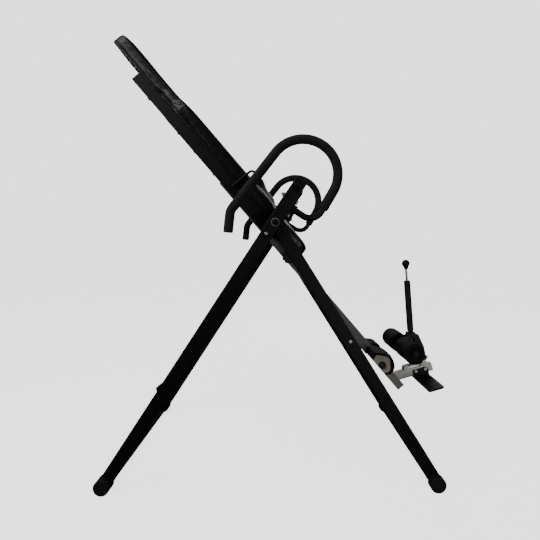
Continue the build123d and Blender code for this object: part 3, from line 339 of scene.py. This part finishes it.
def rounded_outline(corners, radii, steps=8):
    """A closed outline with an arc at each corner."""
    outline = []
    count = len(corners)
    for i, corner in enumerate(corners):
        here = Vector(corner)
        to_last = (Vector(corners[i - 1]) - here).normalized()
        to_next = (Vector(corners[(i + 1) % count]) - here).normalized()
        half = acos(max(-1, min(1, to_last.dot(to_next)))) / 2
        reach, middle = radii[i] / tan(half), radii[i] / sin(half)
        centre = here + (to_last + to_next).normalized() * middle
        first, last = here + to_last * reach - centre, here + to_next * reach - centre
        start = atan2(first.y, first.x)
        sweep = (atan2(last.y, last.x) - start + pi) % (2 * pi) - pi
        for k in range(steps + 1):
            turn = start + sweep * k / steps
            outline.append(centre + radii[i] * Vector((cos(turn), sin(turn))))
    return outline


def spaced(outline, step):
    """The closed outline again, with points about one step apart."""
    points = []
    for a, b in zip(outline, outline[1:] + outline[:1]):
        pieces = max(1, round((b - a).length / step))
        points.extend(a.lerp(b, k / pieces) for k in range(pieces))
    return points


def inset(outline, depth):
    """The outline moved inwards by this depth; it runs clockwise."""
    moved = []
    for i, here in enumerate(outline):
        run = (outline[(i + 1) % len(outline)] - outline[i - 1]).normalized()
        moved.append(here + depth * Vector((run.y, -run.x)))
    return moved


def settle(piece):
    """Make the piece's mesh what its modifiers give, and drop them."""
    mesh = bpy.data.meshes.new_from_object(piece.evaluated_get(bpy.context.evaluated_depsgraph_get()))
    piece.modifiers.clear()
    piece.data = mesh
    mesh.polygons.foreach_set("use_smooth", [True] * len(mesh.polygons))


def remesh(piece, voxel, smoothing):
    """Even out the piece's mesh and round its edges."""
    voxels = piece.modifiers.new("voxels", "REMESH")
    voxels.mode = "VOXEL"
    voxels.voxel_size = voxel
    soften = piece.modifiers.new("soften", "SMOOTH")
    soften.factor = 0.5
    soften.iterations = smoothing
    settle(piece)


def subdivide(piece):
    finer = piece.modifiers.new("finer", "SUBSURF")
    finer.levels = finer.render_levels = 1
    settle(piece)


def inflate(piece, pinned, cap, pressure=4.0, frames=20):
    """Blow the piece up as cloth, hold the pinned points, and ease every move under the cap."""
    start = [v.co.copy() for v in piece.data.vertices]
    held = piece.vertex_groups.new(name="held")
    held.add([v.index for v in piece.data.vertices if pinned(v.co)], 1.0, "REPLACE")
    cloth = piece.modifiers.new("cloth", "CLOTH")
    cloth.settings.quality = 5
    cloth.settings.mass = 0.3
    cloth.settings.tension_stiffness = cloth.settings.compression_stiffness = 20
    cloth.settings.bending_stiffness = 1.0
    cloth.settings.use_pressure = True
    cloth.settings.uniform_pressure_force = pressure
    cloth.settings.vertex_group_mass = held.name
    cloth.settings.effector_weights.gravity = 0
    cloth.collision_settings.use_collision = False
    cloth.point_cache.frame_start, cloth.point_cache.frame_end = 1, frames
    for step in range(1, frames + 1):
        bpy.context.scene.frame_set(step)
    settle(piece)
    bpy.context.scene.frame_set(1)
    for vertex, before in zip(piece.data.vertices, start):
        move = vertex.co - before
        vertex.co = before + move * (cap / (cap + move.length))
    piece.vertex_groups.clear()


def shift_points(piece, amount):
    """Move every point along its normal by amount(place, normal)."""
    normals = [v.normal.copy() for v in piece.data.vertices]
    for vertex, normal in zip(piece.data.vertices, normals):
        vertex.co += normal * amount(vertex.co, normal)
    piece.data.update()


def bell(distance, width):
    return 2.718 ** -((distance / width) ** 2)


# ---- backrest ----------------------------------------------------------------------------------

PAD_HALF = [(-0.935, 0.112), (-0.612, 0.128), (-0.507, 0.215), (0.0, 0.215), (0.045, 0.150), (0.186, 0.125)]
PAD_RADII = [0.070, 0.060, 0.060, 0.040, 0.040, 0.040]
RAIL_BAND = (0.185, 0.216)  # |y| that the side rails cover under the board
DART_LOW, DART_HIGH = Vector((-0.556, -0.121)), Vector((-0.510, -0.086))
LUMBAR_U, LUMBAR_Y = (-0.176, -0.006), 0.172


def pad_outline(step=0.006):
    corners = PAD_HALF + [(u, -y) for u, y in reversed(PAD_HALF)]
    return spaced(rounded_outline(corners, PAD_RADII + PAD_RADII[::-1]), step)


def pad_rings(profile, step=0.006):
    """The pad's outline once for each (inset, height) of the profile."""
    outline = pad_outline(step)
    return [[bed(p.x, p.y, v) for p in inset(outline, depth)] for depth, v in profile]


def from_line(point, start, end):
    """Distance of a point from a line between two others, and how far along it lies, 0 to 1."""
    run = end - start
    share = max(0.0, min(1.0, (point - start).dot(run) / run.length_squared))
    return (point - start - run * share).length, share


def ease(share):
    share = max(0.0, min(1.0, share))
    return share * share * (3 - 2 * share)


def lumbar_swell(place, normal):
    """Rise of the cushion's top: a lumbar swell, highest at its head end, and a fuller headrest."""
    u, y, v = bed_coordinates(place)
    along = ease((u - LUMBAR_U[0]) / 0.04) * ease((LUMBAR_U[1] - u) / 0.05)
    high = 0.019 + 0.014 * bell(u + 0.135, 0.030)
    rise = high * along * ease((LUMBAR_Y - abs(y)) / 0.07) + 0.003 * ease((-u - 0.66) / 0.2)
    return rise * max(0.0, normal.dot(ABOVE))


def pad_folds(place, normal):
    """Dart at the shoulder, pleats at the ends and slight pulls: only on the cover's side band."""
    u, y, v = bed_coordinates(place)
    side = max(0.0, 1 - abs(normal.dot(ABOVE))) ** 0.7
    if side < 0.05:
        return 0.00035 * noise.noise(Vector((u, y, v)) * 9)
    reach, along = from_line(Vector((u, v)), DART_LOW, DART_HIGH)
    at_shoulder = 1.0 if abs(y) > 0.16 else 0.0
    dart = -0.0036 * bell(reach, 0.0045) + 0.0010 * bell(reach - 0.011, 0.006)
    low = max(0.0, min(1.0, (-0.088 - v) / 0.03))
    ends = max(bell(u + 0.92, 0.035), bell(u - 0.171, 0.03), bell(u - 0.02, 0.03))
    pleats = 0.0009 * ends * low * sin(2 * pi * (u + abs(y)) * 95)
    pulls = -0.0005 * low * (0.5 + 0.5 * sin(2 * pi * u / 0.032))
    lumps = 0.0006 * noise.noise(Vector((u * 11, y * 11, v * 24)))
    lean = -0.007 * ease((-0.34 - u) / 0.17) * ease((u + 0.545) / 0.03)
    return side * (at_shoulder * (lean + dart * along**0.2) + pleats + pulls + lumps)


def backrest_pad():
    """Foam pad in a vinyl cover, flat where it rests on its board."""
    profile = [(0.009, -0.1225), (0.0035, -0.1215), (0.002, -0.116), (0.002, -0.098)]
    profile += [(0.0045, -0.090), (0.010, -0.0845), (0.020, -0.0825)]
    rings = pad_rings(profile)
    pad = add_piece("backrest_pad_cover", *loft(rings), "bed", "padded_vinyl", ["backrest_pad"])
    remesh(pad, 0.006, 3)
    inflate(pad, lambda p: bed_coordinates(p)[2] < -0.119, 0.008)
    subdivide(pad)
    shift_points(pad, lumbar_swell)
    shift_points(pad, pad_folds)
    return pad


def on_surface(tree, outline, depth, v, aim):
    """Where the skin is met from outside, all round, coming in (aim[0]) and down (aim[1])."""
    outside, inside = inset(outline, depth - 0.04), inset(outline, depth)
    line = []
    for far, near in zip(outside, inside):
        inwards = (near - far).normalized()
        direction = (ALONG * inwards.x + Vector((0, inwards.y, 0))) * aim[0] - ABOVE * aim[1]
        start = bed(near.x, near.y, v) - direction * 0.03
        hit = tree.ray_cast(start, direction.normalized(), 0.08)[0]
        line.append(hit or bed(near.x, near.y, v))
    return line


def smooth_line(line, rounds=4):
    for _ in range(rounds):
        line = [(line[i - 1] + 2 * p + line[(i + 1) % len(line)]) / 4 for i, p in enumerate(line)]
    return line


def backrest_seams(pad):
    """Welt where the top panel meets the side band, and piping at the board."""
    tree = BVHTree.FromPolygons([v.co for v in pad.data.vertices], [p.vertices for p in pad.data.polygons])
    outline = pad_outline(0.004)
    edge = smooth_line(on_surface(tree, outline, 0.006, -0.086, (0.7, 0.7)))
    add_piece("backrest_welt", *tube(edge, 0.0016, 10, closed=True), "bed", "padded_vinyl")
    foot = smooth_line([bed(p.x, p.y, -0.1222) for p in inset(outline, 0.003)])
    add_piece("backrest_piping", *tube(foot, 0.0021, 10, closed=True), "bed", "padded_vinyl")


def backrest_wrap():
    """The cover's edge, folded round the board and trimmed a little unevenly behind it."""
    profile = [(0.0048, -0.1225), (0.0046, -0.1300), (0.0058, -0.1322), (0.0085, -0.1329), (0.034, -0.1328)]
    profile += [(0.034, -0.1321), (0.009, -0.1321), (0.0068, -0.1312), (0.0059, -0.1295), (0.0058, -0.1225)]
    rings = pad_rings(profile)
    for ring in rings[4:6]:
        for k, point in enumerate(ring):
            ring[k] = point + ALONG * 0.003 * noise.noise(Vector((k * 0.11, 0, 3)))
    add_piece("backrest_cover_edge", *loft(rings, looped=True), "bed", "padded_vinyl")


def block(centre, along, across, up):
    """A small bevelled bar from its three half-size vectors."""
    rings = []
    for level, share in ((-1, 0.8), (-0.5, 1.0), (0.5, 1.0), (1, 0.8)):
        corners = ((-1, -1), (1, -1), (1, 1), (-1, 1))
        rings.append([centre + up * level + (along * a + across * b) * share for a, b in corners])
    return loft(rings)


def joined(parts):
    """One list of vertices and faces from several."""
    vertices, faces = [], []
    for part_vertices, part_faces in parts:
        base = len(vertices)
        vertices.extend(part_vertices)
        faces.extend(tuple(base + k for k in face) for face in part_faces)
    return vertices, faces


def backrest_staples():
    """Wire staples that hold the cover's edge, left out where the rails hide it."""
    line = inset(pad_outline(0.030), 0.022)
    staples = []
    for i, here in enumerate(line):
        if RAIL_BAND[0] < abs(here.y) + 0.004 and -0.70 < here.x < 0.07:
            continue
        run = (line[(i + 1) % len(line)] - line[i - 1]).normalized()
        tilt = 0.25 * noise.noise(Vector((i * 0.7, 5, 1)))
        run = Vector((run.x * cos(tilt) - run.y * sin(tilt), run.x * sin(tilt) + run.y * cos(tilt)))
        along = (ALONG * run.x + Vector((0, run.y, 0))) * 0.0055
        across = (ALONG * -run.y + Vector((0, run.x, 0))) * 0.0007
        staples.append(block(bed(here.x, here.y, -0.1332), along, across, ABOVE * 0.0005))
    add_piece("cover_staples", *joined(staples), "bed", "bright_fasteners", smooth=False)


# ---- foam sleeves and rollers ------------------------------------------------------------------

GRIP_START, GRIP_CORNER = Vector((-0.1524, 0.842)), Vector((-0.145, 0.913))
GRIP_BEND = 0.042
ARC_CENTRE, ARC_RADIUS = Vector((0.092, 1.033)), 0.1135
ARC_FROM, ARC_TO = radians(142.15), radians(-30.47)
GRIP_TAIL = 0.0670  # straight run below the big bend
GRIP_R, TUBE_R, HANDLE_Y = 0.016, 0.0112, 0.325


def arc(centre, radius, start, end, step):
    pieces = max(2, round(abs(end - start) * radius / step))
    turns = [start + (end - start) * k / pieces for k in range(pieces + 1)]
    return [centre + radius * Vector((cos(t), sin(t))) for t in turns]


def run_between(start, end, step):
    pieces = max(1, round((end - start).length / step))
    return [start.lerp(end, k / pieces) for k in range(pieces + 1)]


def handle_line(step=0.0025):
    """The grip's centre line in x and z, from its closed end to the end below the big bend."""
    touch = ARC_CENTRE + ARC_RADIUS * Vector((cos(ARC_FROM), sin(ARC_FROM)))
    to_start, to_touch = (GRIP_START - GRIP_CORNER).normalized(), (touch - GRIP_CORNER).normalized()
    half = acos(to_start.dot(to_touch)) / 2
    leave, join = (GRIP_CORNER + d * GRIP_BEND / tan(half) for d in (to_start, to_touch))
    centre = GRIP_CORNER + (to_start + to_touch).normalized() * GRIP_BEND / sin(half)
    start, end = (atan2(p.y - centre.y, p.x - centre.x) for p in (leave, join))
    end = start + (end - start + pi) % (2 * pi) - pi
    last = ARC_CENTRE + ARC_RADIUS * Vector((cos(ARC_TO), sin(ARC_TO)))
    down = Vector((sin(ARC_TO), -cos(ARC_TO)))
    line = run_between(GRIP_START, leave, step)[:-1] + arc(centre, GRIP_BEND, start, end, step)[:-1]
    line += run_between(join, touch, step)[:-1] + arc(ARC_CENTRE, ARC_RADIUS, ARC_FROM, ARC_TO, step)[:-1]
    return line + run_between(last, last + down * GRIP_TAIL, step)


def rim(u, length, radius, rounding):
    """A radius that rounds off towards both ends of a sleeve."""
    from_end = min(u, length - u)
    if from_end >= rounding:
        return radius
    return radius - rounding + (rounding**2 - (rounding - from_end) ** 2) ** 0.5


def foam_sleeve(name, line, y, outer, inner, body, node, closed_start, segments=40, ribs=()):
    """A foam tube along a line in x and z, with a moulding line and creases inside its bends."""
    count = len(line)
    lengths = [0.0]
    for a, b in zip(line, line[1:]):
        lengths.append(lengths[-1] + (b - a).length)
    total = lengths[-1]

    def ring(i, radius_at):
        run = (line[min(i + 1, count - 1)] - line[max(i - 1, 0)]).normalized()
        side = Vector((run.y, -run.x))
        points = []
        for k in range(segments):
            turn = 2 * pi * k / segments
            spot = line[i] + side * cos(turn) * radius_at(i, turn)
            points.append(Vector((spot.x, y + sin(turn) * radius_at(i, turn), spot.y)))
        return points

    def bend(i):
        """How sharply the line turns here, signed towards side."""
        a, b = max(i - 2, 0), min(i + 2, count - 1)
        if b - i < 2 or i - a < 2:
            return 0.0
        before, after = (line[i] - line[a]).normalized(), (line[b] - line[i]).normalized()
        return (before.y * after.x - before.x * after.y) / (line[b] - line[a]).length

    def skin(i, turn):
        u = lengths[i]
        radius = rim(u, total, outer, 0.003)
        inside = max(0.0, cos(turn) * bend(i) / 12)
        radius -= 0.00045 * min(1, inside) * (0.5 + 0.5 * sin(2 * pi * u / 0.0046))
        radius += 0.0002 * bell(sin(turn), 0.06) * (1 if 0.004 < u < total - 0.004 else 0)
        radius += 0.00022 * noise.noise(Vector((cos(turn), sin(turn), u * 45)) * 1.6)
        for middle, depth, width in ribs:
            radius -= depth * bell(u - middle, width)
        return radius

    def bore(i, turn):
        return inner

    rings = []
    if closed_start:
        rings.append(ring(0, lambda i, turn: outer * 0.15))
        rings.append(ring(0, lambda i, turn: outer * 0.6))
    else:
        rings.append(ring(0, bore))
    rings.extend(ring(i, skin) for i in range(count))
    rings.append(ring(count - 1, bore))
    first_bore = 2 if closed_start else 0
    rings.extend(ring(i, bore) for i in range(count - 2, first_bore, -4))
    shape = loft(rings, closed_ends=closed_start, looped=not closed_start)
    return add_piece(name, *shape, body, "foam_grip", [node])


def lever_sleeve():
    low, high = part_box("lever_grip")
    start = Vector(JOINTS["lock_pull"]["axis"]).normalized()
    middle = (Vector(low) + Vector(high)) / 2
    length = (high[2] - low[2]) / start.z - 0.001
    across = Vector((start.x, start.z))
    centre = Vector((middle.x, middle.z))
    line = run_between(centre - across * length / 2, centre + across * length / 2, 0.003)
    ribs = [(length - 0.006 - 0.0035 * k, 0.0005, 0.0008) for k in range(5)]
    foam_sleeve("lever_grip_foam", line, 0.0, 0.0128, 0.0102, "ankle_clamp", "lever_grip", False, 32, ribs)


def lathe(centre, profile, segments, uneven=0.0, seed=0.0):
    """Rings round an axis along Y through centre: the profile is (y, radius) pairs."""
    rings = []
    for y, radius in profile:
        ring = []
        for k in range(segments):
            turn = 2 * pi * k / segments
            r = radius + uneven * noise.noise(Vector((sin(turn) * 2, y * 60 + seed, cos(turn) * 2)))
            ring.append(Vector((centre.x + r * sin(turn), y, centre.z + r * cos(turn))))
        rings.append(ring)
    return rings


def roller(side):
    """Foam roller with five swelling lobes, pinched between them, and stepped end faces."""
    low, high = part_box(f"roller_foam_{side}")
    y0, y1 = low[1], high[1]
    outer, inner, lobes = 0.0393, 0.0137, 5
    profile = [(y0 + 0.0015, inner), (y0 + 0.0015, 0.021), (y0 + 0.0003, 0.0225), (y0 + 0.0003, 0.029)]
    profile += [(y0 + 0.0012, 0.0302)]
    steps = 90
    for k in range(steps + 1):
        share = k / steps
        y = y0 + (y1 - y0) * share
        lobe = abs(sin(pi * lobes * share)) ** 0.55
        end = min(1.0, min(share, 1 - share) / 0.045)
        rounded = 0.0075 * (1 - (1 - (1 - end) ** 2) ** 0.5)
        profile.append((y, outer - 0.0017 * (1 - lobe) * min(1, end * 1.5) - rounded))
    profile += [(y1 - 0.0012, 0.0302), (y1 - 0.0003, 0.029), (y1 - 0.0003, 0.0225)]
    profile += [(y1 - 0.0015, 0.021), (y1 - 0.0015, inner)]
    rings = lathe(ROLLERS, profile, 72, 0.0005, seed=7.0 * SIDES[side])
    body, stands_for = f"{side}_roller", [f"roller_foam_{side}"]
    add_piece(f"roller_{side}", *loft(rings, looped=True), body, "roller_foam", stands_for)


def heel_pads():
    """Foam round the heel cores: the CAD solid's form with swollen faces and soft lips."""
    source = frame["nodes"]["heel_pads"]
    pads = bpy.data.objects.new("heel_foam", source.data.copy())
    bpy.context.scene.collection.objects.link(pads)
    pads.data.materials.clear()
    remesh(pads, 0.0022, 5)
    pads.data.materials.append(MATERIALS["roller_foam"])
    low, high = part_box("heel_pads")
    inner = min(abs(v.co.y) for v in pads.data.vertices)

    def swell(place, normal):
        share = (abs(place.y) - inner) / (high[1] - inner)
        crown = 1 - (2 * share - 1) ** 4
        lump = noise.noise(place * 70)
        return 0.0012 * crown * max(0.0, normal.dot(ABOVE)) + 0.0005 * lump

    shift_points(pads, swell)
    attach(pads, "boom")
    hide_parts("heel_pads")


def selector_coil():
    """The selector's spring with closed ends."""
    low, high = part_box("selector_spring")
    middle, size = (low + high) / 2, high - low
    wire, turns, steps = 0.0006, 5, 200
    points = []
    for k in range(steps + 1):
        turn = 2 * pi * turns * k / steps
        rise = max(0.0, min(1.0, (k / steps - 0.1) / 0.8)) * (size.y - 2 * wire)
        spot = Vector((cos(turn), 0, sin(turn))) * (size.x / 2 - wire)
        points.append(Vector((middle.x, low.y + wire + rise, middle.z)) + spot)
    coil = add_piece("selector_coil", *tube(points, wire, 8), "bed", "bright_fasteners", ["selector_spring"])
    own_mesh(coil)


def hinge_rings():
    """Dished steel rings round the cap nuts of the leg hinges."""
    centre = Vector(JOINTS["frame_fold"]["pos_m"])
    parts = []
    for sign in SIDES.values():
        profile = [(0.3391, 0.0099), (0.3403, 0.0102), (0.3406, 0.0116), (0.3402, 0.0132), (0.3392, 0.0143)]
        profile += [(0.3386, 0.0146), (0.3386, 0.0140)]
        parts.append(loft(lathe(centre, [(sign * y, r) for y, r in profile], 48), looped=True))
    add_piece("hinge_rings", *joined(parts), "front_frame", "grey_powder_coat")


# ---- weld beads --------------------------------------------------------------------------------


def bead(points, radius=0.0022, closed=False):
    """A rippled weld bead along a line of points."""
    vertices, faces = tube(points, radius, 8, closed)
    for i in range(len(points)):
        swell = 1 + 0.22 * abs(sin(i * 0.9)) + 0.1 * noise.noise(Vector((i * 0.35, radius * 900, 0)))
        for k in range(8):
            spot = vertices[i * 8 + k]
            vertices[i * 8 + k] = points[i] + (spot - points[i]) * swell
    return vertices, faces


def circle_points(centre, y, radius, start=0.0, end=2 * pi, step=0.0012):
    """Points round an axis along Y."""
    pieces = max(8, round(abs(end - start) * radius / step))
    turns = [start + (end - start) * k / pieces for k in range(pieces + 1)]
    return [Vector((centre.x + radius * cos(t), y, centre.z + radius * sin(t))) for t in turns]


def leg_welds(node_of_leg, crossbar, other_end, body, name):
    """Beads round each crossbar at the two flanks of each leg."""
    low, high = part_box(crossbar)
    centre = (Vector(low) + Vector(high)) / 2
    lean = atan2(other_end.z - centre.z, other_end.x - centre.x)
    parts = []
    for side in SIDES:
        leg_low, leg_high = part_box(f"{node_of_leg}_{side}")
        for y, out in ((leg_low[1], -0.0006), (leg_high[1], 0.0006)):
            parts.append(bead(circle_points(centre, y + out, 0.0196, lean - 1.25, lean + 1.25)))
    add_piece(name, *joined(parts), body, "black_powder_coat")


def bed_welds():
    """Beads where the pivot tubes meet the hinge plates and where the cross tubes meet the rails."""
    parts = []
    low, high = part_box("pivot_cross_tubes")
    centre = (Vector(low) + Vector(high)) / 2
    for side in SIDES:
        plate_low, plate_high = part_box(f"hinge_plate_{side}")
        inside = min(abs(plate_low[1]), abs(plate_high[1])) - 0.0008
        rail_low, rail_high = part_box(f"side_rail_{side}")
        faces = sorted((abs(rail_low[1]), abs(rail_high[1])))
        sign = SIDES[side]
        for y in (inside, faces[0] - 0.0006, faces[1] + 0.0006):
            parts.append(bead(circle_points(centre, sign * y, 0.0168), closed=True))
    add_piece("bed_weld_beads", *joined(parts), "bed", "black_powder_coat")


# ---- stage, lights and camera ------------------------------------------------------------------

BACKDROP = 2.2  # brightness of floor and background as the camera sees them


def stage():
    """A pale floor that runs out of sight, bright to the camera but throwing no light upwards."""
    reach = 9.0
    corners = [(-reach, -reach, 0), (reach, -reach, 0), (reach, reach, 0), (-reach, reach, 0)]
    mesh = bpy.data.meshes.new("studio_floor")
    mesh.from_pydata(corners, [], [(0, 1, 2, 3)])
    floor = bpy.data.objects.new("studio_floor", mesh)
    bpy.context.scene.collection.objects.link(floor)
    n = Nodes("pale floor")
    n.colour(n.ramp(n.noise(0.6, 2), 0.2, 0.8, (0.86, 0.86, 0.86), (0.9, 0.9, 0.9)))
    n.set(Roughness=0.9, Specular_IOR_Level=0.1, Emission_Color=(1, 1, 1, 1), Emission_Strength=BACKDROP)
    mesh.materials.append(n.material)
    floor.visible_diffuse = floor.visible_glossy = False


def area_light(name, place, aim, size, power, colour=(1, 1, 1)):
    data = bpy.data.lights.new(name, "AREA")
    data.shape = "RECTANGLE"
    data.size, data.size_y = size
    data.energy = power
    data.color = colour
    light = bpy.data.objects.new(name, data)
    light.location = place
    light.rotation_euler = (Vector(aim) - Vector(place)).to_track_quat("-Z", "Y").to_euler()
    bpy.context.scene.collection.objects.link(light)


def lights():
    """A white backdrop that only the camera sees, and large dim softboxes on the object."""
    world = bpy.data.worlds.new("studio")
    world.use_nodes = True
    backdrop = world.node_tree.nodes["Background"]
    backdrop.inputs["Color"].default_value = (1.0, 1.0, 1.0, 1)
    backdrop.inputs["Strength"].default_value = BACKDROP
    bpy.context.scene.world = world
    seen_by = world.cycles_visibility
    seen_by.diffuse = seen_by.glossy = seen_by.transmission = False
    area_light("front_softbox", (-2.2, -2.4, 2.1), (0, 0, 0.9), (1.4, 1.4), 17)
    area_light("low_front_softbox", (1.6, -2.9, 0.7), (0, 0, 0.6), (1.2, 1.6), 14)
    area_light("overhead_softbox", (-1.3, -0.8, 3.1), (0, 0, 1.0), (1.6, 1.6), 15)
    area_light("back_softbox", (0.6, 3.3, 2.0), (0, 0, 0.8), (2.2, 1.8), 14)


def camera():
    data = bpy.data.cameras.new("photo_view")
    data.lens, data.sensor_width = 26.0, 36.0
    data.shift_x, data.shift_y = -0.0185, -0.0296
    view = bpy.data.objects.new("photo_view", data)
    view.location = (0.017, -1.595, 0.7725)
    view.rotation_euler = (pi / 2, 0, 0)
    bpy.context.scene.collection.objects.link(view)
    bpy.context.scene.camera = view


# ---- build -------------------------------------------------------------------------------------

camera()
lights()
stage()
dress_cad()

cushion = backrest_pad()
backrest_seams(cushion)
backrest_wrap()
backrest_staples()
heel_pads()
for side, sign in SIDES.items():
    shape = handle_line(), sign * HANDLE_Y, GRIP_R, TUBE_R
    foam_sleeve(f"handle_foam_{side}", *shape, "front_frame", f"handle_grip_{side}", True)
    roller(side)
lever_sleeve()
hinge_rings()
selector_coil()
hinge = Vector(JOINTS["frame_fold"]["pos_m"])
leg_welds("front_leg", "front_crossbar", PIVOT, "front_frame", "front_weld_beads")
leg_welds("rear_leg", "rear_crossbar", hinge, "rear_frame", "rear_weld_beads")
bed_welds()
